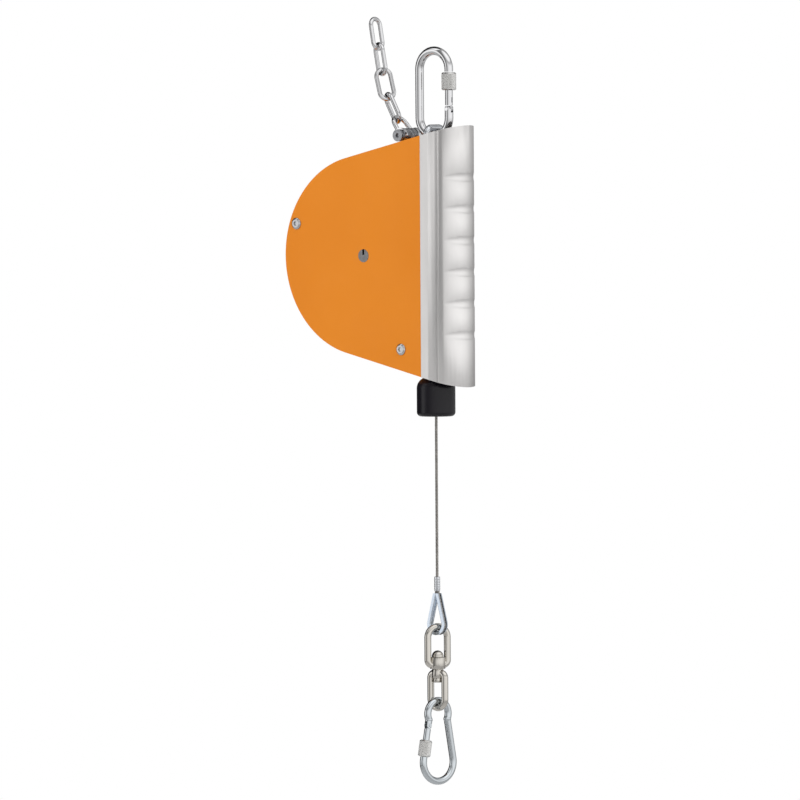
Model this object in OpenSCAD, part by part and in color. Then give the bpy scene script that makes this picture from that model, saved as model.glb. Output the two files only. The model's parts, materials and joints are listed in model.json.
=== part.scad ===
// Wire rope retractor: a spring-driven drum in a flat housing that hangs from a screw-lock
// carabiner, pays out a wire rope with a swivel hook, and carries a short safety chain.
// The origin is where the upper carabiner bears on its hanger. +Z is up, and the rope
// leaves straight down the Z axis. +X points from the drum to the grip on the spine.

/* [Housing] */
// Radius of the covers' round side, about the drum's axis
cover_r = 70; // [69:0.5:71]
// Slope of the straight upper and lower edges, in degrees
edge_slope = 13.5; // [13:0.25:14]
// Height of the drum's axis below the point of suspension
drum_drop = 140; // [139:0.5:141]
// Wall thickness of the covers
cover_t = 2; // [1.8:0.1:2.2]

/* [Spine] */
// Width across the spine, and so of the whole housing
spine_w = 36; // [36:0.5:37]
// Distance from the drum's axis to the crown of the spine
spine_crown = 80; // [79.5:0.25:80.5]
// Pitch of the finger grooves
groove_pitch = 22; // [21:0.5:23]
// Depth of a finger groove
groove_depth = 0.7; // [0.4:0.1:1]

/* [Rope and drum] */
// Diameter of the wire rope
rope_d = 2; // [1.8:0.1:2]
// Radius of the rope's middle on the drum
rope_r = 50; // [50:1:50]
// Turns of rope on the drum at rest
rope_turns = 6; // [5:1:6]
// Length of free rope below the buffer
rope_free = 112; // [100:1:130]

/* [Buffer] */
// Diameter of the rubber buffer
buffer_d = 27; // [26:0.5:27]
// Height of the rubber buffer below its neck
buffer_h = 27.5; // [26:0.5:30]

/* [Upper carabiner] */
// Wire diameter
ring_wire = 6; // [6:0.1:6]
// Width over all
ring_w = 32; // [31:0.5:33]
// Length over all
ring_l = 65.5; // [65:0.5:66]

/* [Hook] */
// Wire diameter
hook_wire = 5; // [5:0.1:5]
// Middle radius of the large bend
hook_big_r = 13.5; // [13:0.25:14]
// Middle radius of the small bend
hook_small_r = 9.2; // [9:0.1:9.4]
// Turn of the hook about the vertical, in degrees
hook_yaw = 78; // [72:1:84]

/* [Chain] */
// Wire diameter
chain_wire = 3; // [2.8:0.1:3]
// Width of a link over all
chain_w = 13; // [13:0.5:14]
// Inner length of a link
chain_inner = 18; // [18:0.5:18]

/* [Hidden] */
$fn = 64;

// Play between pieces that hang in each other
moving_gap = 0.15;
eps = 0.5;

drum_x = -rope_r;
drum_z = -drum_drop;
cover_front = 51;
cover_half = spine_w / 2 - 0.4;
inner_half = cover_half - cover_t;

spine_half = spine_w / 2;
spine_wall = 2.6;
// The flanks bulge a little from flank_x on, then turn into the corners
flank_x = 57.5;
flank_r = 45;
flank_turn = 12;
corner_r = 8;
corner_x = flank_x + (flank_r - corner_r) * sin(flank_turn);
corner_y = spine_half - flank_r + (flank_r - corner_r) * cos(flank_turn);
// The front arc touches both corner arcs from outside
front_run = spine_crown - corner_x;
front_r = (front_run * front_run + corner_y * corner_y - corner_r * corner_r) / (2 * (front_run - corner_r));
front_x = spine_crown - front_r;
groove_tool_r = 10;
groove_sweep_r = 18.2;
tongue_x = 38;
tongue_y = 13;

block_h = 12;
block_top = 75;
block_x = [41, 66];
pin_x = 44;
pin_z = block_top - block_h / 2;
hanger_wire = 5;
hanger_y = 8.5;

ring_inner_bottom = 2 * ring_wire - ring_l;
hanger_z = ring_inner_bottom + hanger_wire / 2 + moving_gap;
ring_mid_r = (ring_w - ring_wire) / 2;
ring_top_z = ring_wire - ring_w / 2;
ring_low_z = ring_wire - ring_l + ring_w / 2;
ring_hinge_z = -37.6;
ring_latch_z = -11.5;

screw_at = [[-60, 22], [33, -65]];
shaft_d = 9;

drum_y = [-12.4, 6];
flange_t = 1.6;
flange_r = 57;
barrel_r = rope_r - rope_d / 2 - 0.3;
chamber_r = 46.5;
web_t = 2.5;
hub_d = 18;
bush_d = 12;
winding_pitch = 2.1;
winding_y0 = 3.2;
ratchet_teeth = 12;
pawl_r = 24;

buffer_top = -84.4;
buffer_low = buffer_top - buffer_h;
ferrule_l = 10;
ferrule_top = drum_z + buffer_low - rope_free;
ferrule_low = ferrule_top - ferrule_l;

thimble_r = 6.2;
thimble_taper = 14.5;
thimble_z = ferrule_low - 23.3;
eye_floor = thimble_z - 4.2;

swivel_wire = 4.8;
swivel_w = 20;
swivel_yaw = 65;
swivel_top = eye_floor + swivel_wire / 2 + moving_gap;
swivel_hub_top = swivel_top - 21.4;
swivel_hub_low = swivel_hub_top - 8;
lower_top = swivel_hub_low - 0.3;
lower_w = 17.3;
lower_low = lower_top - 27;

hook_eye_z = lower_low + swivel_wire / 2 + moving_gap + hook_wire / 2 - hook_small_r;
hook_pitch = 33.7;
hook_z = hook_eye_z - hook_pitch;
neck_turn = 25;
neck = [hook_small_r * cos(neck_turn), hook_pitch - hook_small_r * sin(neck_turn)];
neck_far = norm(neck);
tangent_turn = atan2(neck[1], neck[0]) - acos(hook_big_r / neck_far);
tangent = [hook_big_r * cos(tangent_turn), hook_big_r * sin(tangent_turn)];
arm_run = neck - tangent;
arm_len = norm(arm_run);
arm_lean = atan2(-arm_run[0], arm_run[1]);
hook_hinge_s = arm_len - 3.8;
hook_latch_s = 1.6;
rivet_d = 2.6;

safety_x = 26;
safety_z = 84.1;
chain_leans = [38, 29, 15, 11, 10];
chain_twists = [0, 150, 50, -22, -90];
bow_reach = 14;
chain_start = [drum_x + safety_x, 0, drum_z + safety_z];

// The free rope, from inside the buffer to the ferrule
rope_route = [
    [0, 0, -240], [0, 0, -246], [0, 0, -252], [0, 0, -258], [0, 0, -264], [0, 0, -270],
    [0, 0, -276], [0, 0, -282], [0, 0, -288], [0, 0, -294], [0, 0, -300], [0, 0, -306],
    [0, 0, -312], [0, 0, -318], [0, 0, -324], [0, 0, -330], [0, 0, -336], [0, 0, -342],
    [0, 0, -348], [0, 0, -354], [0, 0, -360], [0, 0, ferrule_top],
];

function edge_z(x, inset = 0) = (cover_r - inset + x * sin(edge_slope)) / cos(edge_slope);
function lean_dir(a) = [-sin(a), 0, cos(a)];
function chain_point(i) = i == 0 ? chain_start
    : chain_point(i - 1) + (i == 1 ? bow_reach : chain_inner) * lean_dir(chain_leans[i - 1]);
function unit(v) = v / norm(v);
function tangent_at(p, i) = unit(p[min(i + 1, len(p) - 1)] - p[max(i - 1, 0)]);
function ring_at(p, i, r, sides, ref) = let(
    t = tangent_at(p, i),
    n = unit(cross(t, ref)),
    b = cross(n, t)
) [for (k = [0:sides - 1]) p[i] + r * cos(360 * k / sides) * n + r * sin(360 * k / sides) * b];

// ---- Shapes that repeat ----

// A tube swept along a list of points, with a ring of sides at each
module tube(path, d, sides, ref) {
    rings = len(path);
    points = [for (i = [0:rings - 1]) each ring_at(path, i, d / 2, sides, ref)];
    sides_a = [
        for (i = [0:rings - 2], k = [0:sides - 1])
            [i * sides + k, i * sides + (k + 1) % sides, (i + 1) * sides + k]
    ];
    sides_b = [
        for (i = [0:rings - 2], k = [0:sides - 1])
            [i * sides + (k + 1) % sides, (i + 1) * sides + (k + 1) % sides, (i + 1) * sides + k]
    ];
    cap_low = [for (k = [1:sides - 2]) [0, k + 1, k]];
    last = (rings - 1) * sides;
    cap_high = [for (k = [1:sides - 2]) [last, last + k, last + k + 1]];
    polyhedron(points = points, faces = concat(sides_a, sides_b, cap_low, cap_high));
}

// Turns an upright shape so that its axis runs along +Y
module along_y() { rotate([-90, 0, 0]) children(); }

// Moves to the drum's axis
module at_drum() { translate([drum_x, 0, drum_z]) children(); }

// Stands a flat outline, drawn in x and z, up in the X-Z plane, from y0 to y1
module slab(y0, y1) {
    translate([0, y1, 0]) rotate([90, 0, 0]) linear_extrude(y1 - y0) children();
}

// A round rod between two points
module rod(a, b, d) {
    v = b - a;
    translate(a) rotate([0, acos(v[2] / norm(v)), atan2(v[1], v[0])]) cylinder(h = norm(v), d = d);
}

// A bend of round wire about Z, of middle radius r, from angle a0 over sweep degrees
module bend(r, d, a0, sweep) {
    rotate([0, 0, a0]) rotate_extrude(angle = sweep) translate([r, 0]) circle(d = d);
}

// The same bend, standing in the X-Z plane
module bend_xz(r, d, a0, sweep) { rotate([90, 0, 0]) bend(r, d, a0, sweep); }

module hex_prism(af, h) { cylinder(d = af / cos(30), h = h, $fn = 6); }

// A chain link in the X-Z plane, centred, its long axis along Z
module link(w, inner, d) {
    r = (w - d) / 2;
    run = (inner + d) / 2 - r;
    translate([0, 0, run]) bend_xz(r, d, 0, 180);
    translate([0, 0, -run]) bend_xz(r, d, 180, 180);
    for (s = [-1, 1]) translate([s * r, 0, -run]) cylinder(h = 2 * run, d = d);
}

// ---- Housing ----

// The round side, and the straight edges from just past where they leave it
module case_outline(inset, front) {
    r = cover_r - inset;
    start = 2 - r * sin(edge_slope);
    difference() {
        union() {
            circle(r, $fn = 128);
            polygon([
                [start, edge_z(start, inset)], [start, -edge_z(start, inset)],
                [front, -edge_z(front, inset)], [front, edge_z(front, inset)],
            ]);
        }
        translate([front, -100]) square([50, 200]);
    }
}

module cover() {
    difference() {
        slab(-cover_half, 0) case_outline(0, cover_front);
        slab(-inner_half, eps) case_outline(cover_t, cover_front + eps);
        translate([0, -cover_half - eps, 0]) along_y() cylinder(h = cover_t + 2 * eps, d = shaft_d + 0.1);
        for (p = screw_at) translate([p[0], -cover_half - eps, p[1]]) along_y() cylinder(h = 4, d = 4.2);
        // Window for the carabiner and the hanger, slot for the safety lug, hole for the buffer's neck
        translate([33, -11.2, 70]) cube([20, 11.2 + eps, 20]);
        translate([19.8, -2.1, 66]) cube([12.4, 2.1 + eps, 20]);
        translate([rope_r, 0, -95]) cylinder(h = 20, d = 14.6);
    }
}

module cover_left() { color("orange") at_drum() cover(); }

module cover_right() {
    color("orange") at_drum() difference() {
        mirror([0, 1, 0]) cover();
        for (a = [90, 210, 330]) rotate([0, a, 0]) translate([30, cover_half - 3, 0]) along_y()
            cylinder(h = 4, d = 3.2);
    }
}

module spine_section(inset) {
    translate([cover_front, -spine_half + inset]) square([flank_x - cover_front, spine_w - 2 * inset]);
    intersection() {
        translate([flank_x, flank_r - spine_half]) circle(flank_r - inset, $fn = 128);
        translate([flank_x, spine_half - flank_r]) circle(flank_r - inset, $fn = 128);
        translate([flank_x - 1, -spine_w]) square([corner_x + 1.4 - flank_x, 2 * spine_w]);
    }
    for (s = [-1, 1]) translate([corner_x, s * corner_y]) circle(corner_r - inset);
    reach = [3 * (corner_x - front_x), 3 * corner_y];
    intersection() {
        translate([front_x, 0]) circle(front_r - inset, $fn = 128);
        translate([front_x, 0]) polygon([
            [0, 0], [reach[0], -reach[1]], [2 * front_r, -reach[1]], [2 * front_r, reach[1]],
            [reach[0], reach[1]],
        ]);
    }
}

module spine_profile() {
    difference() {
        spine_section(0);
        spine_section(spine_wall);
        translate([cover_front - eps, -spine_half + spine_wall])
            square([5, spine_w - 2 * spine_wall]);
    }
    for (s = [-1, 1]) translate([tongue_x, s > 0 ? tongue_y : -inner_half + 0.15])
        square([19, inner_half - 0.15 - tongue_y]);
}

module spine_grip() {
    color("silver") at_drum() difference() {
        intersection() {
            translate([0, 0, -100]) linear_extrude(200) spine_profile();
            slab(-30, 30) polygon([
                [tongue_x - 1, -edge_z(tongue_x - 1)], [90, -edge_z(90)], [90, edge_z(90)],
                [tongue_x - 1, edge_z(tongue_x - 1)],
            ]);
        }
        for (i = [-2.5:1:2.5])
            translate([spine_crown - groove_depth - groove_sweep_r, 0, i * groove_pitch])
                rotate([0, 0, -80]) rotate_extrude(angle = 160, $fn = 128)
                    translate([groove_sweep_r + groove_tool_r, 0]) circle(groove_tool_r);
        for (s = [-1, 1]) translate([pin_x, -20, s * pin_z]) along_y() cylinder(h = 40, d = 4);
        // The tongues stop short of the covers' rims, and the buffer's shoulder needs room
        for (s = [-1, 1]) translate([tongue_x - 1, -inner_half, s > 0 ? 77.5 : -97.5])
            cube([cover_front - tongue_x + 1, 2 * inner_half, 20]);
        translate([rope_r, 0, -100]) cylinder(h = 18, d = 28.6);
    }
}

module block_body(z0) {
    translate([block_x[0], -tongue_y + 0.1, z0])
        cube([block_x[1] - block_x[0], 2 * tongue_y - 0.2, block_h]);
}

module hanger_block() {
    color("dimgray") at_drum() difference() {
        block_body(block_top - block_h);
        for (s = [-1, 1]) translate([rope_r, s * hanger_y, 50]) cylinder(h = 40, d = hanger_wire + 0.1);
        translate([block_x[0] - 1, -2.05, 60]) cube([9.1, 4.1, 20]);
        translate([pin_x, -20, pin_z]) along_y() cylinder(h = 40, d = 4);
    }
}

module guide_block() {
    color("dimgray") at_drum() difference() {
        block_body(-block_top);
        translate([rope_r, 0, -80]) cylinder(h = 30, d = 8);
        translate([pin_x, -20, -pin_z]) along_y() cylinder(h = 40, d = 4);
    }
}

module block_pins() {
    color("gray") at_drum() for (s = [-1, 1])
        translate([pin_x, -inner_half + 0.2, s * pin_z]) along_y()
            cylinder(h = 2 * inner_half - 0.4, d = 3.96);
}

// The hanger is a bent rod: its bar lies in the upper carabiner and its legs go through the block
module hanger_bow() {
    bend_r = 4;
    low = drum_z + block_top - block_h - 7;
    color("lightgray") {
        for (s = [-1, 1]) {
            translate([0, s * hanger_y, low]) cylinder(h = hanger_z - bend_r - low, d = hanger_wire);
            translate([0, s * (hanger_y - bend_r), hanger_z - bend_r]) rotate([0, 0, 90])
                bend_xz(bend_r, hanger_wire, s > 0 ? 0 : 90, 90);
        }
        translate([0, -hanger_y + bend_r, hanger_z]) along_y()
            cylinder(h = 2 * (hanger_y - bend_r), d = hanger_wire);
    }
}

module hanger_nuts() {
    top = drum_z + block_top - block_h - 0.1;
    color("silver") for (s = [-1, 1]) translate([0, s * hanger_y, top]) {
        difference() {
            union() {
                translate([0, 0, -1]) cylinder(h = 1, d = 8.6);
                translate([0, 0, -5]) hex_prism(8, 4);
            }
            translate([0, 0, -6]) cylinder(h = 7, d = hanger_wire + 0.04);
        }
    }
}

module case_spacers() {
    color("silver") at_drum() for (p = screw_at)
        translate([p[0], -inner_half + 0.05, p[1]]) along_y() difference() {
            cylinder(h = 2 * inner_half - 0.1, d = 7.6);
            for (z = [-eps, 2 * inner_half - 10]) translate([0, 0, z]) cylinder(h = 10 + eps, d = 4);
        }
}

// Button head screws with a hexagon socket, for the left side
module case_screw_set() {
    for (p = screw_at) translate([p[0], -cover_half, p[1]]) along_y() difference() {
        union() {
            translate([0, 0, -0.55]) cylinder(h = 0.5, d = 8);
            translate([0, 0, -1.35]) cylinder(h = 0.8, d1 = 5.6, d2 = 8);
            translate([0, 0, -0.3]) cylinder(h = 9.7, d = 3.96);
        }
        translate([0, 0, -2]) hex_prism(3, 1.6);
    }
}

module case_screws_left() { color("silver") at_drum() case_screw_set(); }

module case_screws_right() { color("silver") at_drum() mirror([0, 1, 0]) case_screw_set(); }

// ---- Drum and spring ----

module drum_shaft() {
    color("gray") at_drum() difference() {
        union() {
            translate([0, -cover_half - 0.2, 0]) along_y() cylinder(h = 2 * cover_half + 0.4, d = shaft_d);
            translate([0, 10.4, 0]) along_y() rotate([0, 0, 30]) hex_prism(11, 4.9);
        }
        // Slot that the spring's core is keyed to, open at the left end
        translate([-0.8, -cover_half - 1, 0.6]) cube([1.6, 22, shaft_d]);
    }
}

module spring_core() {
    color("gray") at_drum() {
        difference() {
            translate([0, -10.4, 0]) along_y() cylinder(h = 13.4, d = hub_d);
            translate([0, -12, 0]) along_y() cylinder(h = 20, d = shaft_d + 0.1);
        }
        translate([-0.75, -10.4, 1]) cube([1.5, 13.4, 5]);
    }
}

module power_spring() {
    turns = 9;
    t = 0.8;
    r0 = hub_d / 2 + 0.3;
    r1 = chamber_r - 1.2;
    steps = turns * 20;
    spiral = function(i, off) let(r = r0 + (r1 - r0) * i / steps + off, a = 360 * turns * i / steps)
        [r * cos(a), r * sin(a)];
    color("dimgray") at_drum() slab(-9.6, 2.4) polygon(concat(
        [for (i = [0:steps]) spiral(i, 0)],
        [for (i = [steps:-1:0]) spiral(i, t)]
    ));
}

module drum() {
    color("lightgray") at_drum() difference() {
        translate([0, drum_y[0], 0]) along_y() difference() {
            w = drum_y[1] - drum_y[0];
            union() {
                cylinder(h = w, r = barrel_r, $fn = 128);
                cylinder(h = flange_t, r = flange_r, $fn = 128);
                translate([0, 0, w - flange_t]) cylinder(h = flange_t, r = flange_r, $fn = 128);
                translate([0, 0, w - web_t]) cylinder(h = web_t + 3, d = hub_d);
            }
            translate([0, 0, -eps]) cylinder(h = w - web_t + eps, r = chamber_r, $fn = 128);
            translate([0, 0, -eps]) cylinder(h = w + 5, d = bush_d);
        }
        // Pins' seats in the web, and the rope's anchor seat at the left flange
        for (a = [0, 180]) rotate([0, a, 0]) translate([pawl_r, 0, 0]) along_y() cylinder(h = 20, d = 3);
        rotate([0, 20, 0]) translate([53, -13, 0]) along_y() cylinder(h = 4, d = 4);
    }
}

module drum_lid() {
    color("silver") at_drum() translate([0, drum_y[0] + 0.1, 0]) along_y() difference() {
        union() {
            cylinder(h = 1.4, r = chamber_r - 0.05, $fn = 128);
            translate([0, 0, -2]) cylinder(h = 3.4, d = hub_d);
        }
        translate([0, 0, -3]) cylinder(h = 6, d = bush_d);
    }
}

// A flanged bush: its flange faces outward
module bush(length) {
    difference() {
        union() {
            cylinder(h = length, d = bush_d - 0.06);
            translate([0, 0, -0.8]) cylinder(h = 0.8, d = 15);
        }
        translate([0, 0, -1]) cylinder(h = length + 2, d = shaft_d + 0.1);
    }
}

module drum_bush_left() {
    color("white") at_drum() translate([0, drum_y[0] - 1.95, 0]) along_y() bush(3.2);
}

module drum_bush_right() {
    color("white") at_drum() mirror([0, 1, 0]) translate([0, -drum_y[1] - 3.05, 0]) along_y() bush(5.3);
}

module rope_winding() {
    steps = 36 * rope_turns;
    path = [for (i = [0:steps]) let(a = 10 * i)
        [rope_r * cos(a), winding_y0 - winding_pitch * i / 36, rope_r * sin(a)]];
    color("gray") at_drum() tube(path, rope_d, 8, [0, 1, 0]);
}

module rope_anchor() {
    color("silver") at_drum() rotate([0, 20, 0]) translate([53, drum_y[0] + 0.05, 0]) along_y()
        cylinder(h = 3.4, d = 3.9);
}

module rope_lead() {
    color("gray") tube([
        [0, 2.8, drum_z - 15], [0, 1, drum_z - 56], [0, 0, drum_z - 72], [0, 0, drum_z - 99.9],
    ], rope_d, 8, [0, 1, 0]);
}

module ratchet_ring() {
    root = 34;
    tip = 31.25;
    first = -18.3;
    pitch = 360 / ratchet_teeth;
    teeth = [for (k = [0:ratchet_teeth - 1]) each [
        [tip * cos(first - 1 + k * pitch), tip * sin(first - 1 + k * pitch)],
        [root * cos(first + k * pitch), root * sin(first + k * pitch)],
    ]];
    color("dimgray") at_drum() difference() {
        translate([0, 9.6, 0]) along_y() cylinder(h = inner_half - 9.7, r = 37, $fn = 128);
        slab(9, 13.4) polygon(teeth);
        translate([0, 9, 0]) along_y() rotate([0, 0, 30]) hex_prism(11.1, 8);
        for (a = [90, 210, 330]) rotate([0, a, 0]) translate([30, 9, 0]) along_y() cylinder(h = 8, d = 2.9);
    }
}

module ratchet_screws() {
    color("silver") at_drum() for (a = [90, 210, 330]) rotate([0, a, 0])
        translate([30, 13.5, 0]) along_y() difference() {
            union() {
                cylinder(h = cover_half - 13.5 + 0.1, d = 2.86);
                translate([0, 0, cover_half - 13.5 + 0.05]) cylinder(h = 1.4, d1 = 5.5, d2 = 4.6);
            }
            translate([0, 0, cover_half - 13.5 + 0.6]) hex_prism(2, 2);
        }
}

module pawl_pins() {
    color("silver") at_drum() for (a = [0, 180]) rotate([0, a, 0])
        translate([pawl_r, drum_y[1] - web_t + 0.1, 0]) along_y() cylinder(h = 9.4, d = 2.96);
}

// A pawl at its resting place: the tip leads as the drum pays out
module pawl() {
    slab(9.8, 13) difference() {
        union() {
            translate([pawl_r, 0]) circle(3.4);
            polygon([
                [pawl_r - 3.2, -1], [pawl_r + 1.5, -10], [pawl_r + 4.3, -11], [pawl_r + 5, -9.6],
                [pawl_r + 3.2, -1],
            ]);
            polygon([[pawl_r - 3, 1.5], [pawl_r + 2.6, 2], [pawl_r + 1, 8], [pawl_r - 1.8, 8]]);
        }
        translate([pawl_r, 0]) circle(d = 3.1);
    }
}

module pawl_a() { color("gray") at_drum() pawl(); }

module pawl_b() { color("gray") at_drum() rotate([0, 180, 0]) pawl(); }

// Each pawl's return spring is a leaf that stands on the web and leans on the pawl's tail
module pawl_springs() {
    color("silver") at_drum() for (a = [0, 180]) rotate([0, a, 0]) {
        slab(drum_y[1] + 0.05, 12.4) translate([pawl_r - 4.2, 4]) square([0.5, 7.5]);
        slab(drum_y[1] + 0.05, 9.6) translate([pawl_r - 6.5, 10.5]) square([5, 1.2]);
    }
}

// ---- Rope outlet ----

module rope_guide() {
    color("white") translate([0, 0, drum_z - block_top + block_h]) difference() {
        union() {
            translate([0, 0, 0.05]) cylinder(h = 2, d = 13);
            translate([0, 0, -4.6]) cylinder(h = 4.7, d = 7.9);
        }
        translate([0, 0, -6]) cylinder(h = 10, d = 4);
        translate([0, 0, 0.6]) cylinder(h = 1.6, d1 = 4, d2 = 8);
    }
}

module buffer_bolt() {
    low = drum_z - 104.5;
    color("silver") translate([0, 0, low]) difference() {
        union() {
            cylinder(h = 3, d = 12);
            cylinder(h = 104.5 - block_top + block_h - 4.8, d = 7.96);
        }
        translate([0, 0, -1]) cylinder(h = 60, d = 4);
    }
}

module buffer() {
    neck_h = -block_top - 0.1 - buffer_top;
    shoulder = 8;
    foot = 3;
    r = buffer_d / 2;
    color("black") translate([0, 0, drum_z]) rotate_extrude() difference() {
        union() {
            translate([0, buffer_low + foot]) square([r, buffer_h - foot - shoulder]);
            translate([0, buffer_low]) square([r - foot, foot + 1]);
            translate([r - foot, buffer_low + foot]) circle(foot);
            translate([0, buffer_top - shoulder - 1]) square([r - shoulder, shoulder + 1]);
            intersection() {
                translate([r - shoulder, buffer_top - shoulder]) circle(shoulder);
                translate([0, buffer_top - shoulder]) square([r, shoulder]);
            }
            translate([0, buffer_top - 1]) square([7, neck_h + 1]);
        }
        translate([-30, -200]) square([34.1, 300]);
        translate([0, -120]) square([6.5, 120 - 101.4]);
    }
}

// ---- Rope end ----

module wire_rope() { color("gray") tube(rope_route, rope_d, 8, [0, 1, 0]); }

module rope_ferrule() {
    color("silver") translate([0, 0, ferrule_low]) difference() {
        union() {
            translate([-0.6, -1.65, 0]) cube([1.2, 3.3, ferrule_l]);
            for (s = [-1, 1]) translate([s * 0.6, 0, 0]) cylinder(h = ferrule_l, r = 1.65);
        }
        for (s = [-1, 1]) translate([s * 1.02, 0, -1]) cylinder(h = 5, d = 1.9);
    }
}

// The rope's loop round the thimble: a large bend, two straight runs and the ends in the ferrule
module rope_eye() {
    end_x = 1.02;
    run = (thimble_r * cos(thimble_taper) - end_x) / sin(thimble_taper);
    start = [thimble_r * cos(thimble_taper), thimble_r * sin(thimble_taper)];
    top = start + run * [-sin(thimble_taper), cos(thimble_taper)];
    side = [
        [end_x, ferrule_low + 3 - thimble_z],
        [end_x, ferrule_low - 1 - thimble_z],
        top,
    ];
    round_steps = 24;
    sweep = 180 + 2 * thimble_taper;
    low = [for (i = [0:round_steps]) let(a = thimble_taper - sweep * i / round_steps)
        thimble_r * [cos(a), sin(a)]];
    flat = concat(side, low, [for (i = [2:-1:0]) [-side[i][0], side[i][1]]]);
    color("gray") translate([0, 0, thimble_z])
        tube([for (p = flat) [p[0], 0, p[1]]], rope_d - 0.1, 8, [0, 1, 0]);
}

// The thimble's channel in section: x outward from the eye, y across
module channel_section() {
    difference() {
        intersection() {
            translate([4.3, -2.2]) square([3.2, 4.4]);
            translate([6.9, 0]) circle(2.6);
        }
        translate([thimble_r, 0]) circle(1.3);
        translate([thimble_r, -1.3]) square([3, 2.6]);
    }
}

module thimble_half() {
    run = 26;
    intersection() {
        rotate([90, 0, 0]) rotate([0, 0, thimble_taper]) rotate([90, 0, 0]) translate([0, 0, -run])
            linear_extrude(run) channel_section();
        translate([0, -5, -1]) cube([10, 10, 22.7]);
    }
}

module thimble() {
    color("lightsteelblue") translate([0, 0, thimble_z]) {
        rotate([90, 0, 0]) rotate([0, 0, 180 - thimble_taper])
            rotate_extrude(angle = 180 + 2 * thimble_taper) channel_section();
        thimble_half();
        mirror([1, 0, 0]) thimble_half();
    }
}

// ---- Swivel ----

// A link with one round end and one square end that carries a round hub; hub end down
module swivel_link(w, top, hub_top, hub_low, hub_d, bore) {
    r = (w - swivel_wire) / 2;
    corner = 3.4;
    bar = hub_low + swivel_wire / 2 + 0.3;
    difference() {
        union() {
            translate([0, 0, top - r]) bend_xz(r, swivel_wire, 0, 180);
            for (s = [-1, 1]) {
                translate([s * r, 0, bar + corner]) cylinder(h = top - r - bar - corner, d = swivel_wire);
                translate([s * (r - corner), 0, bar + corner])
                    bend_xz(corner, swivel_wire, s > 0 ? -90 : 180, 90);
            }
            translate([-(r - corner), 0, bar]) rotate([0, 90, 0])
                cylinder(h = 2 * (r - corner), d = swivel_wire);
            translate([0, 0, hub_low]) cylinder(h = hub_top - hub_low, d = hub_d);
        }
        translate([0, 0, hub_low - 5]) cylinder(h = 20, d = bore);
    }
}

module swivel_upper() {
    color("silver") rotate([0, 0, swivel_yaw])
        swivel_link(swivel_w, swivel_top, swivel_hub_top, swivel_hub_low, 10.7, 4.1);
}

module swivel_rivet() {
    head_low = lower_top - 6 - 0.05;
    color("silver") {
        translate([0, 0, head_low - 3]) cylinder(h = swivel_hub_top - head_low + 3.5, d = 4);
        translate([0, 0, swivel_hub_top + 0.1]) intersection() {
            translate([0, 0, 0.6]) sphere(4.1);
            cylinder(h = 6, r = 5);
        }
        translate([0, 0, head_low - 3.2]) cylinder(h = 3.2, d = 6.4);
    }
}

module swivel_lower() {
    color("silver") rotate([180, 0, 0])
        swivel_link(lower_w, -lower_low, -lower_top + 6, -lower_top, 8, 4.04);
}

// ---- Screw-lock gates ----

// The slot between the cheeks that carry a gate's rivet, which is at the origin
module gate_notch(d) { translate([-d, -1.3, -2.4]) cube([2 * d, 2.6, 10]); }

// The cheeks, standing on wire that comes from below
module gate_fork(d, stub) {
    difference() {
        intersection() {
            translate([0, 0, -stub]) cylinder(h = stub + 3, d = d);
            union() {
                translate([-d, -d, -stub]) cube([2 * d, 2 * d, stub]);
                translate([0, -d, 0]) along_y() cylinder(h = 2 * d, r = 2.2);
            }
        }
        gate_notch(d);
        translate([0, -d, 0]) along_y() cylinder(h = 2 * d, d = rivet_d + 0.04);
    }
}

// A gate on its rivet at the origin: a tongue between the cheeks and a round arm along +Z
module gate(d, length) {
    difference() {
        union() {
            translate([0, 0, 2.7]) cylinder(h = length - 2.7, d = d);
            slab(-1.15, 1.15) {
                circle(0.42 * d);
                translate([-0.38 * d, 0]) square([0.76 * d, 3.2]);
            }
        }
        translate([0, -d, 0]) along_y() cylinder(h = 2 * d, d = rivet_d + 0.1);
        // Slot of the gate's spring, on the outer side
        translate([1.5, -0.7, 4.5]) cube([d, 1.4, 3.8]);
    }
}

module gate_rivet(d) {
    translate([0, -d / 2 - 0.1, 0]) along_y() cylinder(h = d + 0.2, d = rivet_d);
    for (s = [0, 1]) mirror([0, s, 0]) translate([0, -d / 2 - 0.3, 0]) along_y()
        cylinder(h = 0.7, d = rivet_d - 0.3);
}

module lock_sleeve(d, bore, length) {
    difference() {
        union() {
            translate([0, 0, 0.8]) cylinder(h = length - 1.6, d = d);
            cylinder(h = 0.8, d1 = d - 1.6, d2 = d);
            translate([0, 0, length - 0.8]) cylinder(h = 0.8, d1 = d, d2 = d - 1.6);
        }
        translate([0, 0, -1]) cylinder(h = length + 2, d = bore);
    }
}

// ---- Upper carabiner ----

module ring_body() {
    stub = ring_hinge_z - ring_low_z;
    color("silver") {
        translate([0, 0, ring_top_z]) bend_xz(ring_mid_r, ring_wire, 0, 180);
        translate([0, 0, ring_low_z]) bend_xz(ring_mid_r, ring_wire, 180, 180);
        translate([-ring_mid_r, 0, ring_low_z]) cylinder(h = ring_top_z - ring_low_z, d = ring_wire);
        translate([ring_mid_r, 0, ring_latch_z]) cylinder(h = ring_top_z - ring_latch_z, d = ring_wire);
        translate([ring_mid_r, 0, ring_hinge_z]) gate_fork(ring_wire, stub);
    }
}

module ring_gate() {
    color("silver") translate([ring_mid_r, 0, ring_hinge_z])
        gate(5.4, ring_latch_z - 0.35 - ring_hinge_z);
}

module ring_rivet() { color("gray") translate([ring_mid_r, 0, ring_hinge_z]) gate_rivet(ring_wire); }

module ring_sleeve() {
    color("lightgray") translate([ring_mid_r, 0, ring_latch_z - 0.55 - 12.4]) lock_sleeve(10.3, 6.6, 12.4);
}

// ---- Hook ----

module at_hook() { translate([0, 0, hook_z]) rotate([0, 0, hook_yaw]) children(); }

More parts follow.
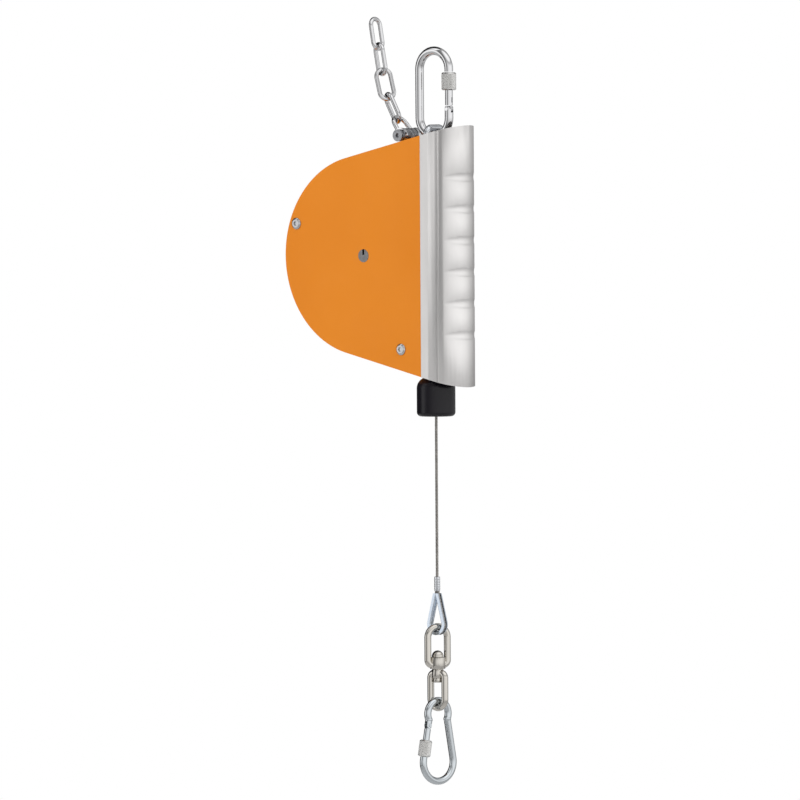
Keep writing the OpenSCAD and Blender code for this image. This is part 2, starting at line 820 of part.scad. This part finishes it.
// Along the hook's gate side: the origin at the large bend's end, +Z towards the neck
module at_gate_side() { translate([-tangent[0], 0, tangent[1]]) rotate([0, arm_lean, 0]) children(); }

// A straight arm is a hair thinner than the bends and starts just inside the large one
module hook_arm(length) { translate([0, 0, -0.3]) cylinder(h = length + 0.3, d = hook_wire - 0.04); }

module hook_body() {
    color("silver") at_hook() difference() {
        union() {
            bend_xz(hook_big_r, hook_wire, 180 - tangent_turn, 180 + 2 * tangent_turn);
            translate([0, 0, hook_pitch])
                bend_xz(hook_small_r, hook_wire, -neck_turn, 180 + 2 * neck_turn);
            mirror([1, 0, 0]) at_gate_side() hook_arm(arm_len);
            for (s = [-1, 1]) translate([s * neck[0], 0, neck[1]]) sphere(d = hook_wire + 0.3, $fn = 40);
            at_gate_side() {
                hook_arm(hook_latch_s);
                translate([0, 0, hook_hinge_s]) rotate([0, 180, 0])
                    gate_fork(hook_wire, arm_len - hook_hinge_s);
            }
        }
        at_gate_side() translate([0, 0, hook_hinge_s]) rotate([0, 180, 0]) gate_notch(hook_wire);
    }
}

module hook_gate() {
    color("silver") at_hook() at_gate_side() translate([0, 0, hook_hinge_s]) rotate([180, 0, 0])
        gate(4.6, hook_hinge_s - hook_latch_s - 0.35);
}

module hook_rivet() {
    color("gray") at_hook() at_gate_side() translate([0, 0, hook_hinge_s]) gate_rivet(hook_wire);
}

module hook_sleeve() {
    color("lightgray") at_hook() at_gate_side() translate([0, 0, hook_latch_s + 0.3])
        lock_sleeve(8.8, 5.6, 11.5);
}

// ---- Safety chain ----

module safety_lug() {
    color("gray") at_drum() difference() {
        union() {
            slab(-2, 2) translate([safety_x, safety_z]) circle(4.9);
            slab(-2, 2) translate([safety_x - 4.9, 64]) square([9.8, safety_z - 64]);
            // Foot that runs into the hanger block's slot, where the block's pin holds it
            slab(-2, 2) translate([safety_x - 4.9, 64]) square([49 - safety_x + 4.9, 8]);
        }
        translate([safety_x, -3, safety_z]) along_y() cylinder(h = 6, d = 5);
        translate([pin_x, -3, pin_z]) along_y() cylinder(h = 6, d = 4);
    }
}

module safety_bolt() {
    color("silver") translate(chain_start) {
        translate([0, -9.2, 0]) along_y() cylinder(h = 23.2, d = 4.96);
        translate([0, -11.5, 0]) along_y() difference() {
            cylinder(h = 2.4, d = 8.4);
            translate([0, 0, -1]) hex_prism(3, 2.4);
        }
    }
}

module safety_washers() {
    color("silver") translate(chain_start) for (y = [-5.6, -4.4, -3.2, 2.1, 3.3, 4.5])
        translate([0, y, 0]) along_y() difference() {
            cylinder(h = 1.1, d = 9.8);
            translate([0, 0, -1]) cylinder(h = 4, d = 5);
        }
}

module safety_nut() {
    color("silver") translate(chain_start + [0, 9.1, 0]) along_y() rotate([0, 0, 30]) difference() {
        hex_prism(8, 4);
        translate([0, 0, -1]) cylinder(h = 6, d = 5);
    }
}

// A triangular link: an eye on each end of the bolt, and a round top for the chain
module chain_bow() {
    eye_y = 7.4;
    top_r = 6.6;
    top_z = bow_reach + moving_gap + chain_wire / 2 - top_r;
    leg = [top_r, top_z];
    foot = [eye_y, 3.6];
    color("silver") translate(chain_start) rotate([0, -chain_leans[0], 0]) rotate([0, 0, 90]) {
        translate([0, 0, top_z]) bend_xz(top_r, chain_wire, 0, 180);
        for (s = [-1, 1]) {
            rod([s * foot[0], 0, foot[1]], [s * leg[0], 0, leg[1]], chain_wire);
            translate([s * leg[0], 0, leg[1]]) sphere(d = chain_wire + 0.3);
            difference() {
                translate([s * eye_y - 1.5, 0, 0]) rotate([0, 90, 0]) cylinder(h = 3, d = 10.4);
                translate([s * eye_y - 3, 0, 0]) rotate([0, 90, 0]) cylinder(h = 6, d = 5.3);
            }
        }
    }
}

module chain_link(i) {
    play = moving_gap;
    translate((chain_point(i) + chain_point(i + 1)) / 2) rotate([0, -chain_leans[i], 0])
        rotate([0, 0, chain_twists[i]]) link(chain_w, chain_inner + play, chain_wire);
}

module chain_link_1() { color("silver") chain_link(1); }
module chain_link_2() { color("silver") chain_link(2); }
module chain_link_3() { color("silver") chain_link(3); }
module chain_link_4() { color("silver") chain_link(4); }

cover_left();
cover_right();
spine_grip();
hanger_block();
guide_block();
block_pins();
hanger_bow();
hanger_nuts();
case_spacers();
case_screws_left();
case_screws_right();
drum_shaft();
spring_core();
power_spring();
drum();
drum_lid();
drum_bush_left();
drum_bush_right();
rope_winding();
rope_anchor();
rope_lead();
ratchet_ring();
ratchet_screws();
pawl_pins();
pawl_a();
pawl_b();
pawl_springs();
rope_guide();
buffer_bolt();
buffer();
wire_rope();
rope_ferrule();
rope_eye();
thimble();
swivel_upper();
swivel_rivet();
swivel_lower();
hook_body();
hook_gate();
hook_rivet();
hook_sleeve();
ring_body();
ring_gate();
ring_rivet();
ring_sleeve();
safety_lug();
safety_bolt();
safety_washers();
safety_nut();
chain_bow();
chain_link_1();
chain_link_2();
chain_link_3();
chain_link_4();
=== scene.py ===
"""Looks for the wire rope retractor: materials, rope strands, knurling, light and camera round the frame."""

import json
import math

import bpy
import numpy as np
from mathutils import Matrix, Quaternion, Vector


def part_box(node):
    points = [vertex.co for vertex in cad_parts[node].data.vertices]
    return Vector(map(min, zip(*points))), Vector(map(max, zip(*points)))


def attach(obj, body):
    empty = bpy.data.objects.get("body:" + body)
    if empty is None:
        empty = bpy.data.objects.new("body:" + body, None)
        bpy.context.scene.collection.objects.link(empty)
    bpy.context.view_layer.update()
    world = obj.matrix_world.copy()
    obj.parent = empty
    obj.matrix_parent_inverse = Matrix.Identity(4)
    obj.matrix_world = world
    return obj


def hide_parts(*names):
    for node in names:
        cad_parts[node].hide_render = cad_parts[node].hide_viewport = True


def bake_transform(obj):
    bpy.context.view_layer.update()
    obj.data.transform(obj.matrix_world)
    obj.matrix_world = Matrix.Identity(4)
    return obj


MM = 0.001

# The picture: azimuth and elevation in degrees, lengths in metres
VIEW_AZIMUTH = 38.5
VIEW_ELEVATION = 2.0
VIEW_HEIGHT = 0.560
VIEW_DISTANCE = 9.0
VIEW_TARGET = (-0.0391, 0.0087, -0.2415)
VIEW_ROLL = math.radians(-0.35)
FLOOR_Z = -2.3
FLOOR_HALF = 6

# The studio's light as (place, level): once round the walls from -X by way of -Y, and from below to above
WALL_LIGHT = [
    (0.0, 0.03), (0.08, 0.04), (0.10, 1.30), (0.150, 1.30), (0.172, 0.26), (0.222, 0.24), (0.26, 0.55),
    (0.30, 0.88), (0.38, 1.12), (0.46, 1.22), (0.54, 1.22), (0.59, 1.06), (0.65, 0.76), (0.73, 0.44),
    (0.81, 0.34), (0.86, 0.06), (1.0, 0.03),
]
HEIGHT_LIGHT = [
    (0.0, 0.12), (0.25, 0.3), (0.42, 0.8), (0.5, 1.0), (0.62, 1.0), (0.72, 0.5), (0.80, 1.05), (1.0, 1.2),
]

# The rope
ROPE_D = 2.0 * MM
ROPE_LAY = 13 * MM
ROPE_END_Z = -0.3639
ROPE_ROUTE = [(0, 0, -0.240 - 0.006 * i) for i in range(21)] + [(0, 0, ROPE_END_Z)]

# The eye at the rope's end: its large bend about Y, the taper of its two straight runs, and where they meet
EYE_Z = -0.3972
EYE_R = 6.2 * MM
EYE_TAPER = math.radians(14.5)
EYE_LEG_X = 1.02 * MM
EYE_STRANDS_D = 1.9 * MM
# The pressed ferrule: length, and the half round ends and flat between them of its cross-section
FERRULE_LENGTH = 10 * MM
FERRULE_END_R = 1.65 * MM
FERRULE_FLAT = 0.6 * MM
FERRULE_RIDGES = 6

# The lock sleeves: outer diameter, bore and length
RING_SLEEVE = (10.3 * MM, 6.6 * MM, 12.4 * MM)
HOOK_SLEEVE = (8.8 * MM, 5.6 * MM, 11.5 * MM)
KNURL_DEPTH = 0.28 * MM
SLEEVE_CHAMFER = 0.8 * MM
SLEEVE_RIM = 1.1 * MM

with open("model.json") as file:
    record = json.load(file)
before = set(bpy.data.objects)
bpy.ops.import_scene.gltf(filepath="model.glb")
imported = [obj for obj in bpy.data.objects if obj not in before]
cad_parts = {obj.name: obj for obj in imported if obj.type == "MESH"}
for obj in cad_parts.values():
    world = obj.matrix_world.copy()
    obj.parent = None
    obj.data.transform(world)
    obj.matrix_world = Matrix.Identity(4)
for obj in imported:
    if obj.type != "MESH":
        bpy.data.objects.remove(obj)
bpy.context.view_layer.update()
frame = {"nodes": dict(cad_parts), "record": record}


# ---- Camera ----

def direction(azimuth, elevation):
    """The way from the object to a camera at that azimuth and elevation."""
    az, el = math.radians(azimuth), math.radians(elevation)
    return Vector((math.sin(az) * math.cos(el), -math.cos(az) * math.cos(el), math.sin(el)))


def add_camera():
    data = bpy.data.cameras.new("camera")
    camera = bpy.data.objects.new("camera", data)
    bpy.context.scene.collection.objects.link(camera)
    away = direction(VIEW_AZIMUTH, VIEW_ELEVATION)
    camera.location = Vector(VIEW_TARGET) + away * VIEW_DISTANCE
    camera.rotation_euler = ((-away).to_track_quat("-Z", "Y") @ Quaternion((0, 0, 1), VIEW_ROLL)).to_euler()
    data.sensor_width = 36
    data.lens = data.sensor_width * VIEW_DISTANCE / VIEW_HEIGHT
    data.clip_end = 100
    bpy.context.scene.camera = camera


# ---- Meshes ----

def new_piece(name, verts, faces, smooth=True):
    mesh = bpy.data.meshes.new(name)
    mesh.from_pydata([tuple(map(float, v)) for v in verts], [], [tuple(f) for f in faces])
    mesh.validate()
    if smooth:
        mesh.shade_smooth()
    obj = bpy.data.objects.new(name, mesh)
    bpy.context.scene.collection.objects.link(obj)
    return obj


def resample(points, step):
    """Points along the same polyline, about step apart."""
    p = np.array(points, float)
    run = np.concatenate([[0], np.cumsum(np.linalg.norm(np.diff(p, axis=0), axis=1))])
    count = max(2, int(round(run[-1] / step)) + 1)
    s = np.linspace(0, run[-1], count)
    return np.stack([np.interp(s, run, p[:, k]) for k in range(3)], axis=1), s


def frames_along(p, ref):
    """Two directions across the path at every point of it, carried along without twist."""
    t = np.gradient(p, axis=0)
    t /= np.linalg.norm(t, axis=1)[:, None]
    n = np.cross(t[0], ref)
    n /= np.linalg.norm(n)
    ns = [n]
    for i in range(1, len(p)):
        n = ns[-1] - np.dot(ns[-1], t[i]) * t[i]
        ns.append(n / np.linalg.norm(n))
    ns = np.array(ns)
    return ns, np.cross(t, ns)


def tube(p, radius, sides):
    """Vertices and faces of a capped tube along the points p."""
    n, b = frames_along(p, np.array([0.3, 1.0, 0.2]))
    a = np.linspace(0, 2 * math.pi, sides, endpoint=False)
    ring = p[:, None, :] + radius * (
        np.cos(a)[None, :, None] * n[:, None, :] + np.sin(a)[None, :, None] * b[:, None, :]
    )
    verts = ring.reshape(-1, 3)
    faces = []
    for i in range(len(p) - 1):
        for k in range(sides):
            j = (k + 1) % sides
            faces.append((i * sides + k, i * sides + j, (i + 1) * sides + j, (i + 1) * sides + k))
    last = (len(p) - 1) * sides
    faces.append(tuple(range(sides))[::-1])
    faces.append(tuple(last + k for k in range(sides)))
    return verts, faces


def rope_mesh(name, points, diameter, lay, step=0.5 * MM):
    """A wire rope: a core and six strands laid round it."""
    p, s = resample(points, step)
    n, b = frames_along(p, np.array([0.0, 1.0, 0.0]))
    strand_r = diameter / 6
    verts, faces = tube(p, strand_r * 1.05, 6)
    verts = [verts]
    count = len(verts[0])
    for k in range(6):
        turn = 2 * math.pi * (s / lay + k / 6)
        centre = p + 2 * strand_r * (np.cos(turn)[:, None] * n + np.sin(turn)[:, None] * b)
        v, f = tube(centre, strand_r, 8)
        faces += [tuple(i + count for i in face) for face in f]
        verts.append(v)
        count += len(v)
    return new_piece(name, np.concatenate(verts), faces)


def lathe(profile, segments, relief):
    """A closed turned shape about Z from (radius, z) pairs; relief(angle, r, z) moves a point outward."""
    verts, faces = [], []
    rows = len(profile)
    for r, z in profile:
        for k in range(segments):
            a = 2 * math.pi * k / segments
            reach = r + relief(a, r, z)
            verts.append((reach * math.cos(a), reach * math.sin(a), z))
    for i in range(rows):
        for k in range(segments):
            j = (k + 1) % segments
            m = (i + 1) % rows
            faces.append((i * segments + k, i * segments + j, m * segments + j, m * segments + k))
    return verts, faces


def place(verts, origin, along, across):
    """Stands a shape about Z up along another direction."""
    z = Vector(along).normalized()
    x = (Vector(across) - z * Vector(across).dot(z)).normalized()
    y = z.cross(x)
    o = Vector(origin)
    return [o + x * v[0] + y * v[1] + z * v[2] for v in verts]


# ---- Materials ----

def new_material(name):
    mat = bpy.data.materials.new(name)
    mat.use_nodes = True
    nt = mat.node_tree
    shader = nt.nodes["Principled BSDF"]
    coord = nt.nodes.new("ShaderNodeTexCoord")
    return mat, nt, shader, coord


def noise(nt, coord, scale, detail, stretch=(1, 1, 1)):
    mapping = nt.nodes.new("ShaderNodeMapping")
    mapping.inputs["Scale"].default_value = stretch
    nt.links.new(coord.outputs["Object"], mapping.inputs["Vector"])
    tex = nt.nodes.new("ShaderNodeTexNoise")
    tex.inputs["Scale"].default_value = scale
    tex.inputs["Detail"].default_value = detail
    nt.links.new(mapping.outputs["Vector"], tex.inputs["Vector"])
    return tex.outputs["Fac"]


def ramp(nt, value, low, high, start=0.3, end=0.7):
    node = nt.nodes.new("ShaderNodeValToRGB")
    node.color_ramp.elements[0].position = start
    node.color_ramp.elements[1].position = end
    node.color_ramp.elements[0].color = (*low, 1)
    node.color_ramp.elements[1].color = (*high, 1)
    nt.links.new(value, node.inputs["Fac"])
    return node.outputs["Color"]


def spread(nt, value, low, high, start=0.3, end=0.7):
    node = nt.nodes.new("ShaderNodeMapRange")
    node.inputs["From Min"].default_value = start
    node.inputs["From Max"].default_value = end
    node.inputs["To Min"].default_value = low
    node.inputs["To Max"].default_value = high
    nt.links.new(value, node.inputs["Value"])
    return node.outputs["Result"]


def bump(nt, shader, value, distance, strength):
    node = nt.nodes.new("ShaderNodeBump")
    node.inputs["Strength"].default_value = strength
    node.inputs["Distance"].default_value = distance
    nt.links.new(value, node.inputs["Height"])
    nt.links.new(node.outputs["Normal"], shader.inputs["Normal"])


def shade(colour, k):
    return tuple(min(1, c * k) for c in colour)


def metal(name, colour, rough, tone=0.12, grain=(1, 1, 1), grain_scale=900, relief=0.01 * MM, blotch=60):
    """Bare or plated metal: slight blotches of tone, fine grain in its roughness, and faint relief."""
    mat, nt, shader, coord = new_material(name)
    shader.inputs["Metallic"].default_value = 1
    cloud = noise(nt, coord, blotch, 4)
    fine = noise(nt, coord, grain_scale, 2, grain)
    blotches = ramp(nt, cloud, shade(colour, 1 - tone), shade(colour, 1 + tone * 0.3))
    nt.links.new(blotches, shader.inputs["Base Color"])
    nt.links.new(spread(nt, fine, rough * 0.75, rough * 1.3), shader.inputs["Roughness"])
    bump(nt, shader, fine, relief, 0.5)
    return mat


def powder_coat():
    """Satin orange powder coat with fine orange peel and a slight change of tone over the panel."""
    mat, nt, shader, coord = new_material("orange_powder_coat")
    cloud = noise(nt, coord, 9, 3)
    peel = noise(nt, coord, 420, 2)
    nt.links.new(ramp(nt, cloud, (0.715, 0.216, 0.0124), (0.76, 0.240, 0.016)), shader.inputs["Base Color"])
    nt.links.new(spread(nt, noise(nt, coord, 60, 4), 0.40, 0.50), shader.inputs["Roughness"])
    shader.inputs["Specular IOR Level"].default_value = 0.22
    bump(nt, shader, peel, 0.04 * MM, 0.35)
    return mat


def anodised(name, colour, rough):
    """Satin anodised extrusion with fine die lines along Z."""
    mat, nt, shader, coord = new_material(name)
    shader.inputs["Metallic"].default_value = 1
    lines = noise(nt, coord, 700, 2, (1, 1, 0.012))
    cloud = noise(nt, coord, 25, 4)
    nt.links.new(ramp(nt, cloud, shade(colour, 0.96), shade(colour, 1.03)), shader.inputs["Base Color"])
    nt.links.new(spread(nt, lines, rough * 0.96, rough * 1.04), shader.inputs["Roughness"])
    bump(nt, shader, lines, 0.0015 * MM, 0.2)
    return mat


def plain(name, colour, rough, scale=200, relief=0.02 * MM, tone=0.1):
    """Rubber or plastic with a fine moulded grain."""
    mat, nt, shader, coord = new_material(name)
    shader.inputs["Specular IOR Level"].default_value = 0.3
    grain = noise(nt, coord, scale * 6, 2)
    cloud = noise(nt, coord, scale * 0.3, 4)
    tones = ramp(nt, cloud, shade(colour, 1 - tone), shade(colour, 1 + tone))
    nt.links.new(tones, shader.inputs["Base Color"])
    nt.links.new(spread(nt, cloud, rough * 0.9, rough * 1.12), shader.inputs["Roughness"])
    bump(nt, shader, grain, relief, 0.4)
    return mat


def galvanised():
    """Bright zinc with a bluish cast and small crystals."""
    mat, nt, shader, coord = new_material("galvanised_zinc")
    shader.inputs["Metallic"].default_value = 1
    cells = nt.nodes.new("ShaderNodeTexVoronoi")
    cells.inputs["Scale"].default_value = 500
    nt.links.new(coord.outputs["Object"], cells.inputs["Vector"])
    crystals = ramp(nt, cells.outputs["Distance"], (0.50, 0.57, 0.66), (0.66, 0.72, 0.80), 0, 0.9)
    nt.links.new(crystals, shader.inputs["Base Color"])
    nt.links.new(spread(nt, cells.outputs["Distance"], 0.12, 0.22, 0, 0.9), shader.inputs["Roughness"])
    bump(nt, shader, noise(nt, coord, 600, 3), 0.01 * MM, 0.5)
    return mat


# The grain of smooth wire, drawn out along Z, and its relief
DRAWN = (1, 1, 0.3)
DRAWN_RELIEF = 0.0005 * MM

MATERIALS = {
    "orange_cover": powder_coat(),
    "anodised": anodised("anodised_extrusion", (0.80, 0.785, 0.775), 0.35),
    "dark_zinc": metal("black_zinc", (0.20, 0.21, 0.23), 0.38),
    "bright_steel": metal("polished_steel", (0.70, 0.70, 0.71), 0.055, 0.05, DRAWN, 700, DRAWN_RELIEF),
    "zinc_steel": metal("bright_zinc", (0.68, 0.70, 0.73), 0.24),
    "spring_steel": metal("spring_strip", (0.30, 0.33, 0.38), 0.26, 0.2),
    "cast_aluminium": metal("cast_aluminium", (0.62, 0.63, 0.64), 0.42, 0.1, (1, 1, 1), 1400, 0.03 * MM),
    "bush_plastic": plain("natural_acetal", (0.80, 0.78, 0.72), 0.38),
    "rope_steel": metal("rope_wire", (0.42, 0.40, 0.375), 0.30, 0.3, (1, 1, 1), 2500, 0.02 * MM, 400),
    "knurled": metal("knurled_nickel", (0.72, 0.715, 0.70), 0.30, 0.1, (1, 1, 1), 1500, 0.01 * MM),
    "rubber": plain("satin_rubber", (0.006, 0.005, 0.008), 0.30, 150, 0.012 * MM, 0.2),
    "galvanised": galvanised(),
}

# Finishes of nodes that differ from the rest of their slot
TURNED = metal("turned_steel", (0.27, 0.27, 0.275), 0.34, 0.15, (1, 0.05, 1), 800)
DULL_STEEL = metal("dull_steel", (0.56, 0.56, 0.57), 0.22, 0.15, (1, 1, 1), 900, 0.001 * MM)
OILED = metal("oiled_zinc", (0.33, 0.335, 0.35), 0.26, 0.25, (1, 1, 1), 900, 0.01 * MM, 250)
NICKEL = metal("warm_nickel", (0.60, 0.575, 0.53), 0.06, 0.05, DRAWN, 700, DRAWN_RELIEF)
ZINC_BLUE = metal("clear_zinc", (0.58, 0.615, 0.64), 0.06, 0.05, DRAWN, 700, DRAWN_RELIEF)
OWN_LOOKS = {
    "swivel_upper": NICKEL, "swivel_rivet": NICKEL, "swivel_lower": NICKEL,
    "hook_body": ZINC_BLUE, "hook_gate": ZINC_BLUE, "hook_rivet": ZINC_BLUE,
    "case_screws_left": DULL_STEEL, "case_screws_right": DULL_STEEL, "drum_shaft": TURNED,
    "safety_bolt": OILED, "safety_washers": OILED, "safety_nut": OILED, "safety_lug": OILED,
}


def dress(obj, slot):
    """Gives a piece of the scene the look of one of the record's material slots."""
    obj.data.materials.clear()
    obj.data.materials.append(MATERIALS[slot])


def dress_frame():
    """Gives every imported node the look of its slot, or its own where it is finished differently."""
    for part in frame["record"]["subparts"]:
        obj = frame["nodes"][part["node"]]
        for spot in obj.material_slots:
            spot.link = "OBJECT"
            spot.material = OWN_LOOKS.get(part["node"], MATERIALS[part["material_slot"]])


def soften(node, width):
    """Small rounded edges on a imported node, made by modifiers only."""
    obj = frame["nodes"][node]
    weld = obj.modifiers.new("weld", "WELD")
    weld.merge_threshold = 1e-6
    edge = obj.modifiers.new("edge", "BEVEL")
    edge.width = width
    edge.segments = 2
    edge.limit_method = "ANGLE"
    edge.angle_limit = math.radians(35)
    edge.harden_normals = True


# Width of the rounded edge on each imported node, in metres
EDGES = {
    "cover_left": 0.4 * MM, "cover_right": 0.4 * MM, "spine_grip": 0.5 * MM,
    "case_screws_left": 0.15 * MM, "case_screws_right": 0.15 * MM, "drum_shaft": 0.2 * MM,
    "hanger_nuts": 0.3 * MM, "safety_bolt": 0.25 * MM, "safety_nut": 0.3 * MM,
    "safety_washers": 0.2 * MM, "safety_lug": 0.3 * MM,
    "swivel_rivet": 0.15 * MM, "swivel_upper": 0.4 * MM, "swivel_lower": 0.4 * MM,
    "ring_rivet": 0.1 * MM, "hook_rivet": 0.1 * MM,
}


# ---- Pieces ----

def free_rope(pieces):
    rope = rope_mesh("free_rope", ROPE_ROUTE, ROPE_D, ROPE_LAY)
    dress(rope, "rope_steel")
    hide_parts("wire_rope")
    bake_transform(rope)


def rope_eye():
    """The strands of the eye, out of the ferrule, round the thimble and back."""
    low = ROPE_END_Z - FERRULE_LENGTH - EYE_Z
    turns = np.linspace(EYE_TAPER, -math.pi - EYE_TAPER, 49)
    bend = [(EYE_R * math.cos(a), EYE_R * math.sin(a)) for a in turns]
    run = (bend[0][0] - EYE_LEG_X) / math.sin(EYE_TAPER)
    top = (EYE_LEG_X, bend[0][1] + run * math.cos(EYE_TAPER))
    side = [(EYE_LEG_X, low + 3 * MM), (EYE_LEG_X, low - 1 * MM), top]
    flat = side + bend + [(-x, z) for x, z in reversed(side)]
    route = [(x, 0, z + EYE_Z) for x, z in flat]
    eye = rope_mesh("rope_eye_strands", route, EYE_STRANDS_D, ROPE_LAY, 0.35 * MM)
    dress(eye, "rope_steel")
    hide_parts("rope_eye")
    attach(eye, "rope_end")
    return eye


def ferrule():
    """The pressed ferrule: a flattened sleeve with the press tool's shallow ridges across it."""
    rows = 61
    around = 64
    edge_r = 0.5 * MM
    ridge_depth = 0.13 * MM
    verts, faces = [], []
    for i in range(rows):
        u = i / (rows - 1)
        edge = min(u, 1 - u) * FERRULE_LENGTH
        inset = 0.7 * edge_r * max(0, 1 - edge / edge_r) ** 2
        groove = ridge_depth * (0.5 - 0.5 * math.cos(2 * math.pi * u * FERRULE_RIDGES))
        for k in range(around):
            a = 2 * math.pi * k / around
            r = FERRULE_END_R - inset - groove
            x = r * math.cos(a) + (FERRULE_FLAT if math.cos(a) >= 0 else -FERRULE_FLAT)
            verts.append((x, r * math.sin(a), ROPE_END_Z - FERRULE_LENGTH * (1 - u)))
        if i:
            for k in range(around):
                j = (k + 1) % around
                faces.append(((i - 1) * around + k, (i - 1) * around + j, i * around + j, i * around + k))
    faces.append(tuple(range(around))[::-1])
    faces.append(tuple((rows - 1) * around + k for k in range(around)))
    piece = new_piece("ferrule_pressed", verts, faces)
    dress(piece, "zinc_steel")
    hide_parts("rope_ferrule")
    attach(piece, "rope_end")
    return piece


def joint_axis(name):
    joints = frame["record"]["behaviour"]["joints"]
    return next(joint["axis"] for joint in joints if joint["name"] == name)


def knurled_sleeve(name, node, body, size, grooves, along):
    """A lock sleeve with a cut diamond knurl between two plain chamfered ends."""
    diameter, bore, length = size
    radius = diameter / 2
    pitch = 2 * math.pi * radius / grooves

    def cut(a, r, z):
        if r < radius - 1e-7 or z < SLEEVE_RIM or z > length - SLEEVE_RIM:
            return 0
        u = (a * grooves / (2 * math.pi) + z / pitch) % 1
        v = (a * grooves / (2 * math.pi) - z / pitch) % 1
        return -KNURL_DEPTH * (1 - min(1, 2.5 * min(u, 1 - u, v, 1 - v)))

    inner = bore / 2
    outer = radius - SLEEVE_CHAMFER
    rim = SLEEVE_RIM - 0.05 * MM
    profile = [(inner, length), (inner, 0), (outer, 0), (radius, SLEEVE_CHAMFER)]
    profile += [(radius, z) for z in np.linspace(rim, length - rim, 110)]
    profile += [(radius, length - SLEEVE_CHAMFER), (outer, length)]
    verts, faces = lathe(profile, grooves * 8, cut)
    low, high = (Vector(corner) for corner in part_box(node))
    foot = (low + high) / 2 - Vector(along) * length / 2
    across = (0, 1, 0) if abs(along[1]) < 0.5 else (1, 0, 0)
    piece = new_piece(name, place(verts, foot, along, across), faces, smooth=False)
    dress(piece, "knurled")
    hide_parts(node)
    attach(piece, body)


# ---- Stage ----

def add_floor():
    corners = [(-1, -1), (1, -1), (1, 1), (-1, 1)]
    verts = [(x * FLOOR_HALF, y * FLOOR_HALF, FLOOR_Z) for x, y in corners]
    floor = new_piece("floor", verts, [(0, 1, 2, 3)], smooth=False)
    mat, nt, shader, coord = new_material("pale_floor")
    paint = ramp(nt, noise(nt, coord, 0.8, 2), (0.80, 0.80, 0.80), (0.83, 0.83, 0.83))
    nt.links.new(paint, shader.inputs["Base Color"])
    shader.inputs["Roughness"].default_value = 0.8
    floor.data.materials.append(mat)


def grey_band(nt, value, stops):
    """A colour ramp with grey levels at the given places."""
    node = nt.nodes.new("ShaderNodeValToRGB")
    elements = node.color_ramp.elements
    while len(elements) < len(stops):
        elements.new(0.5)
    for element, stop in zip(elements, stops):
        element.position = stop[0]
    for element, stop in zip(elements, stops):
        element.color = (stop[1], stop[1], stop[1], 1)
    nt.links.new(value, node.inputs["Fac"])
    return node.outputs["Color"]


def studio_light(nt):
    """The colour of the studio in every direction: bright walls with soft darker gaps between the lamps."""
    coord = nt.nodes.new("ShaderNodeTexCoord")
    split = nt.nodes.new("ShaderNodeSeparateXYZ")
    nt.links.new(coord.outputs["Generated"], split.inputs["Vector"])
    turn = nt.nodes.new("ShaderNodeMath")
    turn.operation = "ARCTAN2"
    nt.links.new(split.outputs["Y"], turn.inputs[0])
    nt.links.new(split.outputs["X"], turn.inputs[1])
    around = spread(nt, turn.outputs["Value"], 0, 1, -math.pi, math.pi)
    height = spread(nt, split.outputs["Z"], 0, 1, -1, 1)
    mix = nt.nodes.new("ShaderNodeMix")
    mix.data_type = "RGBA"
    mix.blend_type = "MULTIPLY"
    mix.inputs["Factor"].default_value = 1
    nt.links.new(grey_band(nt, around, WALL_LIGHT), mix.inputs["A"])
    nt.links.new(grey_band(nt, height, HEIGHT_LIGHT), mix.inputs["B"])
    return mix.outputs["Result"]


def studio_world():
    """A pale studio all round, with a plain white backdrop behind the object."""
    world = bpy.data.worlds.new("studio")
    bpy.context.scene.world = world
    world.use_nodes = True
    nt = world.node_tree
    nt.nodes.clear()
    backdrop = nt.nodes.new("ShaderNodeBackground")
    backdrop.inputs["Color"].default_value = (1, 1, 1, 1)
    studio = nt.nodes.new("ShaderNodeBackground")
    nt.links.new(studio_light(nt), studio.inputs["Color"])
    path = nt.nodes.new("ShaderNodeLightPath")
    choose = nt.nodes.new("ShaderNodeMixShader")
    nt.links.new(path.outputs["Is Camera Ray"], choose.inputs["Fac"])
    nt.links.new(studio.outputs["Background"], choose.inputs[1])
    nt.links.new(backdrop.outputs["Background"], choose.inputs[2])
    out = nt.nodes.new("ShaderNodeOutputWorld")
    nt.links.new(choose.outputs["Shader"], out.inputs["Surface"])


def softbox(name, azimuth, elevation, distance, size, watts):
    """A lamp that lights the object but isn't mirrored in it: the studio's walls do that."""
    data = bpy.data.lights.new(name, "AREA")
    data.shape = "RECTANGLE"
    data.size, data.size_y = size
    data.energy = watts
    lamp = bpy.data.objects.new(name, data)
    bpy.context.scene.collection.objects.link(lamp)
    away = direction(azimuth, elevation)
    lamp.location = Vector(VIEW_TARGET) + away * distance
    lamp.rotation_euler = (-away).to_track_quat("-Z", "Y").to_euler()
    lamp.visible_glossy = False


add_camera()
free_rope([rope_eye(), ferrule()])
dress_frame()
for node, width in EDGES.items():
    soften(node, width)
knurled_sleeve("ring_sleeve_knurled", "ring_sleeve", "top_sleeve", RING_SLEEVE, 30, (0, 0, 1))
hook_axis = joint_axis("hook_sleeve")
knurled_sleeve("hook_sleeve_knurled", "hook_sleeve", "hook_sleeve", HOOK_SLEEVE, 26, hook_axis)
bpy.context.scene.view_settings.view_transform = "Standard"
studio_world()
softbox("key", -25, 25, 2.2, (1.2, 1.6), 24)
softbox("fill", 100, 15, 2.4, (0.8, 1.8), 10)
add_floor()
